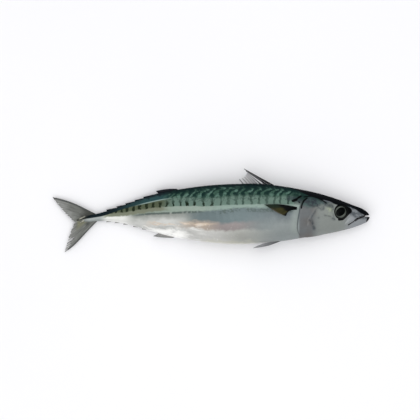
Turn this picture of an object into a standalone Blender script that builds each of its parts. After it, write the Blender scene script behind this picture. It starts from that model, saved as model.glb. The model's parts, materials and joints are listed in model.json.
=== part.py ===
"""A whole raw mackerel lying on its left flank: head towards +X, back towards +Y, right flank up.

Sizes are in millimetres, and place() turns a point of the fish into metres. A station is the distance
behind the tip of the lower jaw. A height is measured from the long axis towards the back. Sideways is
measured from the middle plane of the fish, positive towards the right flank. Girth runs round the skin,
from 0 on the ridge of the back to 1 on the belly line.
"""

import math

import bmesh
import bpy
import numpy as np
from mathutils import Matrix, Vector

MM = 0.001

# Outline of the bare body, as (station, height)
BACK_LINE = (
    (0, 3.8), (9, 8.9), (18, 12.0), (32, 16.9), (50, 22.5), (77, 28.9), (106, 33.9), (143, 35.6),
    (177, 33.9), (213, 29.2), (235, 25.0), (253, 18.8), (270, 12.6), (281, 9.0), (299, 3.6), (310, 1.4),
    (324, -2.4),
)
BELLY_LINE = (
    (0, -4.8), (12, -10.5), (28, -15.4), (50, -20.5), (73, -24.2), (98, -27.9), (120, -29.8),
    (143, -30.4), (177, -28.3), (199, -25.3), (219, -21.6), (236, -17.2), (253, -12.1), (279, -6.1),
    (296, -4.7), (310, -5.7), (324, -5.0),
)
# Half of the thickness, and the height of the middle plane over the table: the skull stays straight
# and the tail sinks. Both are (station, distance)
HALF_WIDTH = (
    (0, 3.9), (10, 6.0), (20, 8.6), (32, 11.4), (45, 14.3), (60, 17.2), (80, 19.8), (105, 21.7),
    (135, 22.6), (162, 21.9), (190, 19.5), (215, 16.3), (240, 12.2), (262, 8.2), (280, 5.4), (296, 3.8),
    (306, 3.1), (316, 1.9), (324, 0.8),
)
MIDPLANE = (
    (0, 13.2), (40, 15.6), (80, 18.4), (105, 20.2), (135, 21.0), (162, 20.2), (190, 17.9), (215, 14.9),
    (240, 11.3), (262, 8.4), (280, 6.9), (300, 6.0), (325, 5.2), (350, 3.6),
)
BODY_END = 324.0
NOSE_ROUNDING = 4.5
TAIL_ROUNDING = 5.0
WIDEST_LEVEL = 0.53
FULLNESS = 0.92
FLESH_GIVE = 1.0

# Rings of the body's mesh: close together on the head, wider along the body
HEAD_RINGS = (0, 0.5, 1.6, 3.2, 5.4, 8.4, 12, 16, 20, 24, 28, 32, 36, 40, 44.5, 49, 54, 59, 64, 69, 73.5, 77.2)
BODY_RINGS = 38
RING_SIDES = 40

# Free edge of the gill cover, as (girth, station). The cover stands off the body behind it by the ledge
GILL_EDGE = (
    (0.0, 62.0), (0.2, 64.0), (0.26, 68.4), (0.345, 74.1), (0.48, 77.4), (0.62, 79.6), (0.72, 79.4),
    (0.8, 77.4), (0.87, 74.6), (0.94, 68.0), (1.0, 60.0),
)
GILL_RING = 79.6
GILL_FOOT = 80.3
GILL_LEDGE = 1.2
GILL_SWELL = 20.0
GILL_BEND_REACH = 42.0

# Mouth: a slot right through at the lips, and a groove in each cheek behind them, by (station, height)
# and (station, gap)
MOUTH_FRONT = -3.0
MOUTH_CORNER = 24.0
MOUTH_SLOT_END = 4.6
MOUTH_GROOVE_START = 7.0
MOUTH_GROOVE_DEPTH = (3.2, 1.2)
MOUTH_LINE = ((-3, 0.6), (1, 0.5), (4.6, 0.2), (9, -1.4), (14.4, -3.2), (18, -5.0), (24, -9.2))
MOUTH_GAP = ((-3, 3.2), (1, 2.2), (4.6, 1.3), (10, 1.3), (16, 1.0), (24, 0.5))

# Eye, with the ring-shaped gap round the ball
EYE_STATION = 32.0
EYE_HEIGHT = 5.2
EYE_LENGTH_RADIUS = 6.7
EYE_HEIGHT_RADIUS = 7.1
EYE_BALL_DEPTH = 4.0
EYE_BULGE = 1.0
SOCKET_GAP = 1.2
SOCKET_DEPTH = 3.4
SOCKET_BULGE = 1.6

FIN_THICKNESS = 0.9
RAY_RELIEF = 0.35

# Tail fin, by (station, height). The split is a tear in the lower lobe's margin
TAIL_RAYS = 19
TAIL_UPPER_TIP = (349.6, 21.6)
TAIL_FORK = (324.6, -6.2)
TAIL_LOWER_TIP = (335.8, -38.8)
TAIL_ROOT_UPPER = (300.0, 2.4)
TAIL_ROOT_MIDDLE = (317.0, -3.6)
TAIL_ROOT_LOWER = (299.5, -4.4)
TAIL_BOW = 1.4
TAIL_DROOP = 1.9
TAIL_SPLIT = (0.80, 0.84)
TAIL_SPLIT_START = 0.72
KEEL_SIZE = (5.2, 0.9, 1.5)
KEELS = ((311.0, 0.1, 24.0), (311.5, -4.6, -20.0))

# First dorsal fin: spines that lean back and get shorter
SPINE_COUNT = 9
SPINE_FRONT = 107.0
SPINE_BACK = 142.0
SPINE_LONGEST = 37.5
SPINE_SHORTEST = 3.0
SPINE_SHORTENING = 1.45
SPINE_LEAN = math.radians(31.5)
SPINE_RADIUS = 0.75
SPINE_TIP_RADIUS = 0.3

# Finlets, by the stations of their tips
UPPER_FINLETS = (249.5, 259.0, 269.3, 279.0, 290.3)
LOWER_FINLETS = (251.0, 260.8, 271.5, 281.0, 290.2)
FINLET_LENGTH = 7.5
UPPER_FINLET_HEIGHT = 1.9
LOWER_FINLET_HEIGHT = 1.2

# Pectoral and pelvic fins, by the (station, height) of their first and last ray
PECTORAL_RAYS = 12
PECTORAL_ROOT = ((80.6, 10.8), (82.4, 6.6))
PECTORAL_TIPS = ((116.5, 13.4), (92.6, 0.6))
PECTORAL_MARGIN = 4.0
PECTORAL_BOW = 1.6
PECTORAL_LIFT = 2.4
PRESSED_FIN_THICKNESS = 1.22
PELVIC_ROOT = ((97.0, -23.4), (100.5, -24.0))
PELVIC_TIPS = ((121.5, -32.2), (128.6, -35.0))
PELVIC_BOW = 3.0


def smooth_line(points):
    """A smooth curve through (position, value) points, as a function of the position."""
    at, value = np.array(points, float).T
    step = np.diff(at)
    slope = np.diff(value) / step
    inner = (slope[:-1] * step[1:] + slope[1:] * step[:-1]) / (step[1:] + step[:-1])
    tangent = np.concatenate((slope[:1], inner, slope[-1:]))

    def read(where):
        i = np.clip(np.searchsorted(at, where) - 1, 0, len(step) - 1)
        t = np.clip((where - at[i]) / step[i], 0.0, 1.0)
        rise = t * t * (3.0 - 2.0 * t)
        leave = tangent[i] * t * (1.0 - t) ** 2
        arrive = tangent[i + 1] * t * t * (t - 1.0)
        return value[i] * (1.0 - rise) + value[i + 1] * rise + step[i] * (leave + arrive)

    return read


back_height = smooth_line(BACK_LINE)
belly_height = smooth_line(BELLY_LINE)
half_width = smooth_line(HALF_WIDTH)
midplane = smooth_line(MIDPLANE)
gill_edge = smooth_line(GILL_EDGE)
mouth_height = smooth_line(MOUTH_LINE)
mouth_gap = smooth_line(MOUTH_GAP)


def ease(low, high, value):
    """0 below low, 1 above high, and a smooth step between."""
    t = min(max((value - low) / (high - low), 0.0), 1.0)
    return t * t * (3.0 - 2.0 * t)


def blend(start, end, share):
    return start + (end - start) * share


def blend_points(start, end, share):
    return tuple(blend(a, b, share) for a, b in zip(start, end))


def place(station, height, sideways):
    """A point of the fish in metres, before the fish is centred over its box."""
    return Vector((-station, height, midplane(station) + sideways)) * MM


def closing(station):
    """Share of the full section: it closes like a ball at the nose and at the root of the tail."""
    nose = min(station / NOSE_ROUNDING, 1.0)
    tail = min((BODY_END - station) / TAIL_ROUNDING, 1.0)
    return math.sqrt(max(nose * (2.0 - nose), 0.0)) * math.sqrt(max(tail * (2.0 - tail), 0.0))


def section(station, girth, proud=0.0):
    """(height, sideways reach) of the skin, standing proud of the bare form by that much."""
    top, bottom, close = back_height(station), belly_height(station), closing(station)
    level = blend(bottom, top, WIDEST_LEVEL)
    up, out = math.cos(math.pi * girth), max(math.sin(math.pi * girth), 0.0)
    tall = top - level if up > 0.0 else level - bottom
    height = level + close * tall * math.copysign(abs(up) ** FULLNESS, up) + proud * up
    return height, close * half_width(station) * out ** FULLNESS + proud * out


def reach_at(station, height):
    """Sideways reach of the skin at a height, found by halving the girth."""
    low, high = 0.0, 1.0
    for _ in range(30):
        middle = (low + high) / 2.0
        if section(station, middle)[0] > height:
            low = middle
        else:
            high = middle
    return section(station, low)[1]


def rest_on_table(point, level=0.0):
    """The flesh gives on the table: below that level the underside is flat, with a soft edge."""
    over = point.z / MM - level
    if over < FLESH_GIVE:
        over = max(over + FLESH_GIVE, 0.0) ** 2 / (4.0 * FLESH_GIVE)
    point.z = (over + level) * MM
    return point


def mesh_object(name, bm, collection):
    bmesh.ops.recalc_face_normals(bm, faces=bm.faces)
    mesh = bpy.data.meshes.new(name)
    bm.to_mesh(mesh)
    bm.free()
    made = bpy.data.objects.new(name, mesh)
    collection.objects.link(made)
    return made


def body_rings():
    """Stations of the head's rings, of the gill cover's ledge, and of even rings back to the tail."""
    even = [blend(GILL_FOOT, BODY_END, (i + 1) / BODY_RINGS) for i in range(BODY_RINGS - 1)]
    return [*HEAD_RINGS, GILL_RING, GILL_FOOT, *even, BODY_END - 2.2, BODY_END - 0.6, BODY_END]


def bend_to_gill(station, girth):
    """Rings near the gill opening follow the edge of the cover."""
    near = 1.0 - ease(0.0, GILL_BEND_REACH, abs(station - GILL_RING))
    return station - (GILL_RING - gill_edge(girth)) * near


def gill_relief(station, girth):
    """The cover swells towards its free edge. It fades out on the back, and is lower on the throat."""
    if station > GILL_RING + 0.01:
        return 0.0
    round_head = ease(0.2, 0.3, girth) * blend(1.0, 0.45, ease(0.88, 1.0, girth))
    return GILL_LEDGE * ease(GILL_RING - GILL_SWELL, GILL_RING, station) * round_head


def pressed_fin_level(station, height):
    """Level of the underside where the left pectoral fin lies between flank and table."""
    along = ease(74, 80, station) * (1.0 - ease(117, 123, station))
    across = ease(-6, -1, height) * (1.0 - ease(15, 20, height))
    return 0.8 * along * across


def make_body(collection):
    """A tube of rings: each column of the grid's vertices becomes one ring."""
    rings = body_rings()
    last = len(rings) - 1
    bm = bmesh.new()
    bmesh.ops.create_grid(bm, x_segments=last, y_segments=RING_SIDES, size=1.0)
    for vertex in bm.verts:
        ring = rings[round((vertex.co.x + 1.0) / 2.0 * last)]
        girth = abs(vertex.co.y)
        side = math.copysign(1.0, vertex.co.y)
        station = bend_to_gill(ring, girth)
        height, reach = section(station, girth, gill_relief(ring, girth))
        point = place(station, height, side * reach)
        vertex.co = rest_on_table(point, pressed_fin_level(station, height))
    bmesh.ops.remove_doubles(bm, verts=bm.verts, dist=0.00001)
    return mesh_object("mackerel", bm, collection)


def plate(name, collection, columns, rows, middle, thickness, across=(0, 0, 1), torn=None):
    """A thin closed plate, for u across the columns and v along the rows, both 0 to 1. middle(u, v) is its
    middle surface in metres, thickness(u, v) is in millimetres, and torn(u, v) says which faces are gone."""
    bm = bmesh.new()
    bmesh.ops.create_grid(bm, x_segments=columns, y_segments=rows, size=0.5)
    if torn:
        centres = [(face, face.calc_center_median()) for face in bm.faces]
        gone = [face for face, centre in centres if torn(centre.x + 0.5, centre.y + 0.5)]
        bmesh.ops.delete(bm, geom=gone, context="FACES")
    grown = bmesh.ops.extrude_face_region(bm, geom=bm.faces[:], use_keep_orig=True)
    upper = {item for item in grown["geom"] if isinstance(item, bmesh.types.BMVert)}
    for vertex in bm.verts:
        u, v = vertex.co.x + 0.5, vertex.co.y + 0.5
        half = thickness(u, v) / 2.0 * MM * (1.0 if vertex in upper else -1.0)
        vertex.co = middle(u, v) + Vector(across) * half
    return mesh_object(name, bm, collection)


def ray_thickness(rays, root=1.3, margin=0.6):
    """Thickness of a fin: more at the root and on each of its rays, less on the skin between them."""

    def thickness(u, v):
        crest = 0.5 + 0.5 * math.cos(2.0 * math.pi * rays * u)
        return blend(root, margin, v) * FIN_THICKNESS + RAY_RELIEF * (crest - 0.5) * (1.0 - 0.5 * v)

    return thickness


def tail_middle(u, v):
    """Rays fan out from the tail's root to a margin that runs from the upper tip, by the fork, to the lower."""
    upper = u < 0.5
    from_fork = abs(2.0 * u - 1.0)
    start = blend_points(TAIL_ROOT_MIDDLE, TAIL_ROOT_UPPER if upper else TAIL_ROOT_LOWER, from_fork)
    end = blend_points(TAIL_FORK, TAIL_UPPER_TIP if upper else TAIL_LOWER_TIP, from_fork)
    station, height = blend_points(start, end, v)
    bow = TAIL_BOW * from_fork * math.sin(math.pi * v)
    droop = 0.0 if upper else TAIL_DROOP * from_fork * v * v
    return place(station, height + (bow if upper else -bow), -droop)


def make_tail_fin(collection):
    def torn(u, v):
        return TAIL_SPLIT[0] < u < TAIL_SPLIT[1] and v > TAIL_SPLIT_START

    thickness = ray_thickness(TAIL_RAYS, 1.9, 0.9)
    plate("tail_fin", collection, 2 * TAIL_RAYS, 7, tail_middle, thickness, torn=torn)


def make_keels(collection):
    """Two short ridges on each side of the tail's root, which close in towards the fork."""
    for station, height, tilt in KEELS:
        for side in (1, -1):
            bm = bmesh.new()
            bmesh.ops.create_uvsphere(bm, u_segments=8, v_segments=6, radius=1.0)
            turn = Matrix.Rotation(math.radians(tilt), 4, "Z")
            size = Matrix.Diagonal(Vector((*KEEL_SIZE, 1.0 / MM)) * MM)
            bm.transform(Matrix.Translation(place(station, height, side * 1.3)) @ turn @ size)
            mesh_object("keel", bm, collection)


def spine_point(share, rise):
    """A point on the spine at that share of the fin's base. rise is 0 at the skin and 1 at its tip."""
    foot = blend(SPINE_FRONT, SPINE_BACK, share)
    length = blend(SPINE_SHORTEST, SPINE_LONGEST, (1.0 - share) ** SPINE_SHORTENING) * rise
    along = Vector((-math.cos(SPINE_LEAN), math.sin(SPINE_LEAN), 0.0))
    return place(foot, back_height(foot), 0.0) + along * length * MM


def make_first_dorsal(collection):
    """Spines, with skin between them that reaches high at the front and stays low behind."""
    for number in range(SPINE_COUNT):
        share = number / (SPINE_COUNT - 1)
        foot, tip = spine_point(share, -0.12), spine_point(share, 1.0)
        bm = bmesh.new()
        bmesh.ops.create_cone(
            bm, cap_ends=True, segments=6, radius1=SPINE_RADIUS * MM, radius2=SPINE_TIP_RADIUS * MM,
            depth=(tip - foot).length,
        )
        turn = (tip - foot).to_track_quat("Z", "Y").to_matrix().to_4x4()
        bm.transform(Matrix.Translation((foot + tip) / 2.0) @ turn)
        mesh_object("spine", bm, collection)

    def skin(u, v):
        top = blend(0.86, 0.3, ease(0.06, 0.42, u))
        return spine_point(u, blend(-0.1, top, v))

    plate("dorsal_skin", collection, 2 * (SPINE_COUNT - 1), 3, skin, lambda u, v: 0.6)


def folded_fin(name, collection, rays, feet, tips, rows=3, bulge=0.0):
    """A low fin that lies back. Its first and last ray run from the feet to the tips."""

    def middle(u, v):
        station, height = blend_points(blend_points(*feet, u), blend_points(*tips, u), v)
        return place(station, height + bulge * math.sin(math.pi * u) * v, 0.0)

    plate(name, collection, 2 * rays, rows, middle, ray_thickness(rays))


def make_folded_fins(collection):
    """Second dorsal fin and anal fin, and the finlets behind each."""
    upper_feet, upper_tips = ((208, 28.2), (229, 23.5)), ((216, 30.6), (235.4, 28.2))
    lower_feet, lower_tips = ((214, -21.5), (231, -17.5)), ((222, -23.6), (238.4, -21.6))
    folded_fin("second_dorsal", collection, 8, upper_feet, upper_tips, bulge=1.0)
    folded_fin("anal_fin", collection, 8, lower_feet, lower_tips, bulge=-0.8)
    for line, stations, rise in (
        (back_height, UPPER_FINLETS, UPPER_FINLET_HEIGHT),
        (belly_height, LOWER_FINLETS, -LOWER_FINLET_HEIGHT),
    ):
        inside = -math.copysign(1.2, rise)
        for tip in stations:
            front, back = tip - FINLET_LENGTH, tip - 2.2
            feet = (front, line(front) + inside), (back, line(back) + inside)
            tips = (front + 2.2, line(front + 2.2) + 0.5 * rise), (tip, line(tip) + rise)
            folded_fin("finlet", collection, 2, feet, tips, rows=2)


def pectoral_outline(u, v):
    """(station, height) on the pectoral fin, with u from its long upper ray to its short lower one."""
    start = blend_points(*PECTORAL_ROOT, u)
    station, height = blend_points(*PECTORAL_TIPS, u ** 0.85)
    margin = PECTORAL_MARGIN * math.sin(math.pi * u)
    end = (station - 0.15 * margin, height - 0.35 * margin)
    station, height = blend_points(start, end, v)
    return station, height + PECTORAL_BOW * math.sin(math.pi * v) * (1.0 - u)


def make_pectorals(collection):
    """The right fin stands a little off the flank. The left one is pressed flat under the fish."""

    def standing(u, v):
        station, height = pectoral_outline(u, v)
        return place(station, height, reach_at(station, height) + blend(-0.8, PECTORAL_LIFT, v ** 0.8))

    def pressed(u, v):
        station, height = pectoral_outline(u, v)
        point = place(station, height, 0.0)
        point.z = (PRESSED_FIN_THICKNESS / 2.0 + 0.01) * MM
        return point

    thickness = ray_thickness(PECTORAL_RAYS, 1.5, 0.7)
    plate("pectoral_right", collection, 2 * PECTORAL_RAYS, 5, standing, thickness)
    plate("pectoral_left", collection, PECTORAL_RAYS, 5, pressed, lambda u, v: PRESSED_FIN_THICKNESS)


def make_pelvics(collection):
    """A pair of fins folded along the belly."""
    for side in (1, -1):

        def middle(u, v, side=side):
            start, end = blend_points(*PELVIC_ROOT, u), blend_points(*PELVIC_TIPS, u)
            station, height = blend_points(start, end, v)
            return place(station, height - PELVIC_BOW * math.sin(math.pi * v) * u, side * blend(3.6, 5.2, v))

        plate("pelvic", collection, 5, 5, middle, lambda u, v: blend(1.4, 0.8, v))


def eye_frame(side):
    """Where the eye sits and how it is turned: it faces straight out of the cheek."""
    reach = reach_at(EYE_STATION, EYE_HEIGHT)
    to_front = (reach - reach_at(EYE_STATION - 3, EYE_HEIGHT)) / 3.0
    to_back = (reach - reach_at(EYE_STATION, EYE_HEIGHT + 3)) / 3.0
    facing = Vector((to_front, to_back, side))
    centre = place(EYE_STATION, EYE_HEIGHT, side * reach)
    return Matrix.Translation(centre) @ facing.to_track_quat("Z", "Y").to_matrix().to_4x4()


def eye_ball(collection, side, grow, depth, bulge):
    """A flattened ball in the cheek, which stands out of it by the bulge."""
    bm = bmesh.new()
    bmesh.ops.create_uvsphere(bm, u_segments=24, v_segments=12, radius=1.0)
    radii = Vector((EYE_LENGTH_RADIUS + grow, EYE_HEIGHT_RADIUS + grow, depth, 1.0 / MM))
    drop = Matrix.Translation((0, 0, (bulge - depth) * MM))
    bm.transform(eye_frame(side) @ drop @ Matrix.Diagonal(radii * MM))
    return mesh_object("eye_ball", bm, collection)


def mouth_cutter(collection, side):
    """One side of the mouth: it follows the line of the lips back to the corner of the jaw."""

    def middle(u, v):
        station = blend(MOUTH_FRONT, MOUTH_CORNER, u)
        reach = half_width(max(station, 0.0))
        depth = blend(*MOUTH_GROOVE_DEPTH, ease(MOUTH_GROOVE_START, MOUTH_CORNER, station))
        inner = blend(-0.4, reach - depth, ease(MOUTH_SLOT_END, MOUTH_GROOVE_START, station))
        return place(station, mouth_height(station), side * blend(inner, reach + 3.0, v))

    def gap(u, v):
        return mouth_gap(blend(MOUTH_FRONT, MOUTH_CORNER, u))

    return plate("mouth", collection, 18, 1, middle, gap, across=(0, 1, 0))


def apply_boolean(target, operation, collection):
    """Applies one Boolean with a whole collection, and removes the collection and what was in it."""
    modifier = target.modifiers.new(operation.title(), "BOOLEAN")
    modifier.operation = operation
    modifier.operand_type = "COLLECTION"
    modifier.collection = collection
    modifier.solver = "EXACT"
    graph = bpy.context.evaluated_depsgraph_get()
    joined = bpy.data.meshes.new_from_object(target.evaluated_get(graph))
    target.modifiers.clear()
    target.data = joined
    for used in list(collection.objects):
        bpy.data.objects.remove(used)
    bpy.data.collections.remove(collection)


def new_collection(name):
    made = bpy.data.collections.new(name)
    bpy.context.scene.collection.children.link(made)
    return made


def skin_material():
    material = bpy.data.materials.new("mackerel_skin")
    material.use_nodes = True
    shader = material.node_tree.nodes["Principled BSDF"]
    shader.inputs["Base Color"].default_value = (0.22, 0.25, 0.25, 1.0)
    shader.inputs["Roughness"].default_value = 0.35
    shader.inputs["Metallic"].default_value = 0.2
    return material


def centre_over_box(made):
    """Moves the mesh so that its box is centred over the origin and stands on it."""
    points = np.array([vertex.co for vertex in made.data.vertices])
    low, high = points.min(axis=0), points.max(axis=0)
    middle = (low + high) / 2.0
    made.data.transform(Matrix.Translation((-middle[0], -middle[1], -low[2])))


def main():
    for left_over in list(bpy.data.objects):
        bpy.data.objects.remove(left_over)
    fish = make_body(bpy.context.scene.collection)

    cutters = new_collection("cutters")
    for side in (1, -1):
        mouth_cutter(cutters, side)
        eye_ball(cutters, side, SOCKET_GAP, SOCKET_DEPTH, SOCKET_BULGE)
    apply_boolean(fish, "DIFFERENCE", cutters)

    pieces = new_collection("fins_and_eyes")
    for side in (1, -1):
        eye_ball(pieces, side, 0.0, EYE_BALL_DEPTH, EYE_BULGE)
    make_tail_fin(pieces)
    make_keels(pieces)
    make_first_dorsal(pieces)
    make_folded_fins(pieces)
    make_pectorals(pieces)
    make_pelvics(pieces)
    apply_boolean(fish, "UNION", pieces)

    centre_over_box(fish)
    fish.data.materials.clear()
    fish.data.materials.append(skin_material())
    fish.data.shade_smooth()
    fish.data.set_sharp_from_angle(angle=math.radians(35))


main()
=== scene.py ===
import json
import math

import bmesh
import bpy
import numpy as np
from mathutils import Matrix, Vector

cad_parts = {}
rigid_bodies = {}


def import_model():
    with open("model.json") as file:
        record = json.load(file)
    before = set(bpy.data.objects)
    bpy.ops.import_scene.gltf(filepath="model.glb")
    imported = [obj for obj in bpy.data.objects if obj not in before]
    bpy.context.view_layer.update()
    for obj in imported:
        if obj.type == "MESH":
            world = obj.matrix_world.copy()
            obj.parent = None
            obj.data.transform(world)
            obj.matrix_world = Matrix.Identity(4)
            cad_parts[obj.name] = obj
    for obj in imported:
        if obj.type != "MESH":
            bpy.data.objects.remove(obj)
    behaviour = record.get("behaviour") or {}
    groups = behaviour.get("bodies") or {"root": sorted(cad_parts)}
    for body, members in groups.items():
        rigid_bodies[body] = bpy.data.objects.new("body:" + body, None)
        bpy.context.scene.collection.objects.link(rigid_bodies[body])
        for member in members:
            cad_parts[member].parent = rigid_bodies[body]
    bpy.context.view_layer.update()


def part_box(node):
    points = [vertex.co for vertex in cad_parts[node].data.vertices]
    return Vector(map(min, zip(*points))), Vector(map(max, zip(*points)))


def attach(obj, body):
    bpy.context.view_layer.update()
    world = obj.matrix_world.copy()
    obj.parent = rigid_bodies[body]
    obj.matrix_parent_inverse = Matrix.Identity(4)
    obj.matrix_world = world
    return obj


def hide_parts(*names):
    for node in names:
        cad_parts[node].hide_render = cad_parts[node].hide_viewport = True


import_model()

# The skin is one closed spindle from the jaws to the root of the tail, firm and wet, with scales too
# small to see. The fish lies on its left flank, which the table presses flat. The edge of each gill
# cover stands off the body behind it, and the eye sockets, nostrils and cheek bones are low relief.
MM = 0.001
TAIL_LOWER_DEPTH = 38.8
node_low, node_high = (Vector(corner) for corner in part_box("mackerel"))
NOSE_X = node_high.x
AXIS_Y = node_low.y + TAIL_LOWER_DEPTH * MM

# Stations are millimetres behind the tip of the lower jaw, heights are millimetres from the long axis
# towards the back, and girth runs round the skin from 0 on the ridge of the back to 1 on the belly.
BACK_LINE = (
    (0, 3.8), (9, 9.2), (18, 12.6), (32, 18.0), (50, 23.9), (77, 30.2), (106, 34.7), (143, 36.1),
    (177, 34.4), (213, 29.5), (235, 25.2), (253, 18.8), (270, 12.6), (281, 9.0), (299, 3.6), (310, 1.4),
    (324, -2.4),
)
BELLY_LINE = (
    (0, -4.6), (12, -9.8), (28, -14.6), (50, -19.3), (73, -23.0), (98, -27.0), (120, -29.2),
    (143, -30.4), (177, -28.3), (199, -25.3), (219, -21.6), (236, -17.2), (253, -12.1), (279, -6.1),
    (296, -4.7), (310, -5.7), (324, -5.0),
)
HALF_WIDTH = (
    (0, 3.9), (10, 6.0), (20, 8.6), (32, 11.4), (45, 14.3), (60, 17.2), (80, 19.8), (105, 21.6),
    (135, 22.45), (162, 21.8), (190, 19.5), (215, 16.3), (240, 12.2), (262, 8.2), (280, 5.4), (296, 3.8),
    (306, 3.1), (316, 1.9), (324, 0.8),
)
MIDPLANE = (
    (0, 13.2), (40, 15.6), (80, 18.4), (105, 20.2), (135, 21.0), (162, 20.2), (190, 17.9), (215, 14.9),
    (240, 11.3), (262, 8.4), (280, 6.9), (300, 6.0), (325, 5.2), (350, 3.6),
)
BODY_END = 324.0
NOSE_ROUNDING = 4.5
TAIL_ROUNDING = 5.0
WIDEST_LEVEL = 0.53
FULLNESS = 0.92
FLESH_GIVE = 1.0
PRESSED_FIN_LIFT = 0.8

GILL_EDGE = (
    (0.0, 62.0), (0.2, 64.0), (0.26, 68.4), (0.345, 74.1), (0.48, 77.4), (0.62, 79.6), (0.72, 79.4),
    (0.8, 77.4), (0.87, 74.6), (0.94, 68.0), (1.0, 60.0),
)
GILL_RING = 79.6
GILL_FOOT = 80.3
GILL_LEDGE = 1.2
GILL_SWELL = 20.0
GILL_BEND_REACH = 42.0

EYE_STATION = 32.3
EYE_HEIGHT = 5.6
EYE_RADIUS = 7.4
SOCKET_DEPTH = 1.7

HEAD_STEP = 0.5
BODY_STEP = 1.06
SKIN_SIDES = 236


def smooth_line(points):
    """A smooth curve through (position, value) points, as a function of one position or of many."""
    at, value = np.array(points, float).T
    step = np.diff(at)
    slope = np.diff(value) / step
    inner = (slope[:-1] * step[1:] + slope[1:] * step[:-1]) / (step[1:] + step[:-1])
    tangent = np.concatenate((slope[:1], inner, slope[-1:]))

    def read(where):
        i = np.clip(np.searchsorted(at, where) - 1, 0, len(step) - 1)
        t = np.clip((where - at[i]) / step[i], 0.0, 1.0)
        rise = t * t * (3.0 - 2.0 * t)
        leave = tangent[i] * t * (1.0 - t) ** 2
        arrive = tangent[i + 1] * t * t * (t - 1.0)
        return value[i] * (1.0 - rise) + value[i + 1] * rise + step[i] * (leave + arrive)

    return read


back_height = smooth_line(BACK_LINE)
belly_height = smooth_line(BELLY_LINE)
half_width = smooth_line(HALF_WIDTH)
midplane = smooth_line(MIDPLANE)
gill_edge = smooth_line(GILL_EDGE)


def ease(low, high, value):
    """0 below low, 1 above high, and a smooth step between."""
    t = np.clip((value - low) / (high - low), 0.0, 1.0)
    return t * t * (3.0 - 2.0 * t)


def blend(start, end, share):
    return start + (end - start) * share


def bell(value, middle, reach):
    """1 at the middle, falling to nothing over about twice the reach."""
    return np.exp(-((value - middle) / reach) ** 2)


def section(station, girth, proud=0.0):
    """(height, sideways reach) of the skin, standing proud of the bare form by that much."""
    top, bottom = back_height(station), belly_height(station)
    nose = np.clip(station / NOSE_ROUNDING, 0.0, 1.0)
    tail = np.clip((BODY_END - station) / TAIL_ROUNDING, 0.0, 1.0)
    close = np.sqrt(nose * (2.0 - nose) * tail * (2.0 - tail))
    level = blend(bottom, top, WIDEST_LEVEL)
    up, out = np.cos(np.pi * girth), np.maximum(np.sin(np.pi * girth), 0.0)
    tall = np.where(up > 0.0, top - level, level - bottom)
    height = level + close * tall * np.copysign(np.abs(up) ** FULLNESS, up) + proud * up
    return height, close * half_width(station) * out ** FULLNESS + proud * out


def reach_at(station, height):
    """Sideways reach of the bare form at a height, found by halving the girth."""
    low, high = 0.0, 1.0
    for _ in range(30):
        middle = (low + high) / 2.0
        if section(station, middle)[0] > height:
            low = middle
        else:
            high = middle
    return float(section(station, low)[1])


def rest_on_table(level, floor_level=0.0):
    """The flesh gives on the table: below the floor's level the underside is flat, with a soft edge."""
    over = level - floor_level
    pressed = np.maximum(over + FLESH_GIVE, 0.0) ** 2 / (4.0 * FLESH_GIVE)
    return floor_level + np.where(over < FLESH_GIVE, pressed, over)


def pressed_fin_level(station, height):
    """Level of the underside where the left pectoral fin lies between flank and table."""
    along = ease(74, 80, station) * (1.0 - ease(117, 123, station))
    across = ease(-6, -1, height) * (1.0 - ease(15, 20, height))
    return PRESSED_FIN_LIFT * along * across


def stroke_distance(station, height, points):
    """Distance in millimetres from a line through (station, height) points."""
    nearest = np.full(np.shape(station), 1e9)
    for (s0, h0), (s1, h1) in zip(points, points[1:]):
        ds, dh = s1 - s0, h1 - h0
        share = np.clip(((station - s0) * ds + (height - h0) * dh) / (ds * ds + dh * dh), 0.0, 1.0)
        nearest = np.minimum(nearest, np.hypot(station - s0 - share * ds, height - h0 - share * dh))
    return nearest


def near_stroke(station, height, points, reach):
    """1 on a line through (station, height) points, falling off over the reach."""
    return 1.0 - ease(0.35 * reach, reach, stroke_distance(station, height, points))


CHEEK_BONE = (
    (57, 10.5), (60.5, 6.5), (63.3, 2.2), (67.4, -3.7), (67.2, -9.3), (64.6, -13.5), (57, -17.0),
)
COVER_SEAM = ((66.5, -4.5), (71.0, -9.0), (74.5, -14.5))
UPPER_JAW = ((2.0, 2.6), (9.0, 1.4), (15.0, -0.6), (20.0, -3.8), (25.5, -8.2))
JAW_GROOVE = ((3.0, 4.2), (10.0, 4.6), (17.0, 3.0), (22.5, -0.6), (27.5, -6.0))
LOWER_JAW_GROOVE = ((6.0, -5.6), (15.0, -8.8), (24.0, -12.2), (36.0, -15.2))
SKULL_GROOVE = ((41.0, 12.6), (50.0, 15.6), (57.0, 18.6), (63.0, 19.6), (70.0, 19.4))
LATERAL_LINE = (
    (72, 21.2), (90, 22.4), (120, 23.6), (150, 24.0), (180, 23.2), (205, 21.6), (226, 19.4), (241, 16.4),
    (261, 11.4), (277, 6.6), (285, 3.6), (293, 1.0), (302, -0.7), (312, -2.2), (324, -4.4),
)
HEAD_STROKES = (
    (CHEEK_BONE, 0.30, 2.4, 0.0), (CHEEK_BONE, -0.18, 1.8, 1.6), (COVER_SEAM, -0.12, 1.4, 0.0),
    (UPPER_JAW, 0.35, 2.2, 0.0), (JAW_GROOVE, -0.32, 1.1, 0.0), (LOWER_JAW_GROOVE, -0.25, 1.2, 0.0),
    (SKULL_GROOVE, -0.28, 1.6, 0.0),
)
NOSTRILS = ((19.3, 9.4), (21.4, 9.0))
MUSCLE_RELIEF = 0.05
MUSCLE_LENGTH = 7.4
lateral_height = smooth_line(LATERAL_LINE)


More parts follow.
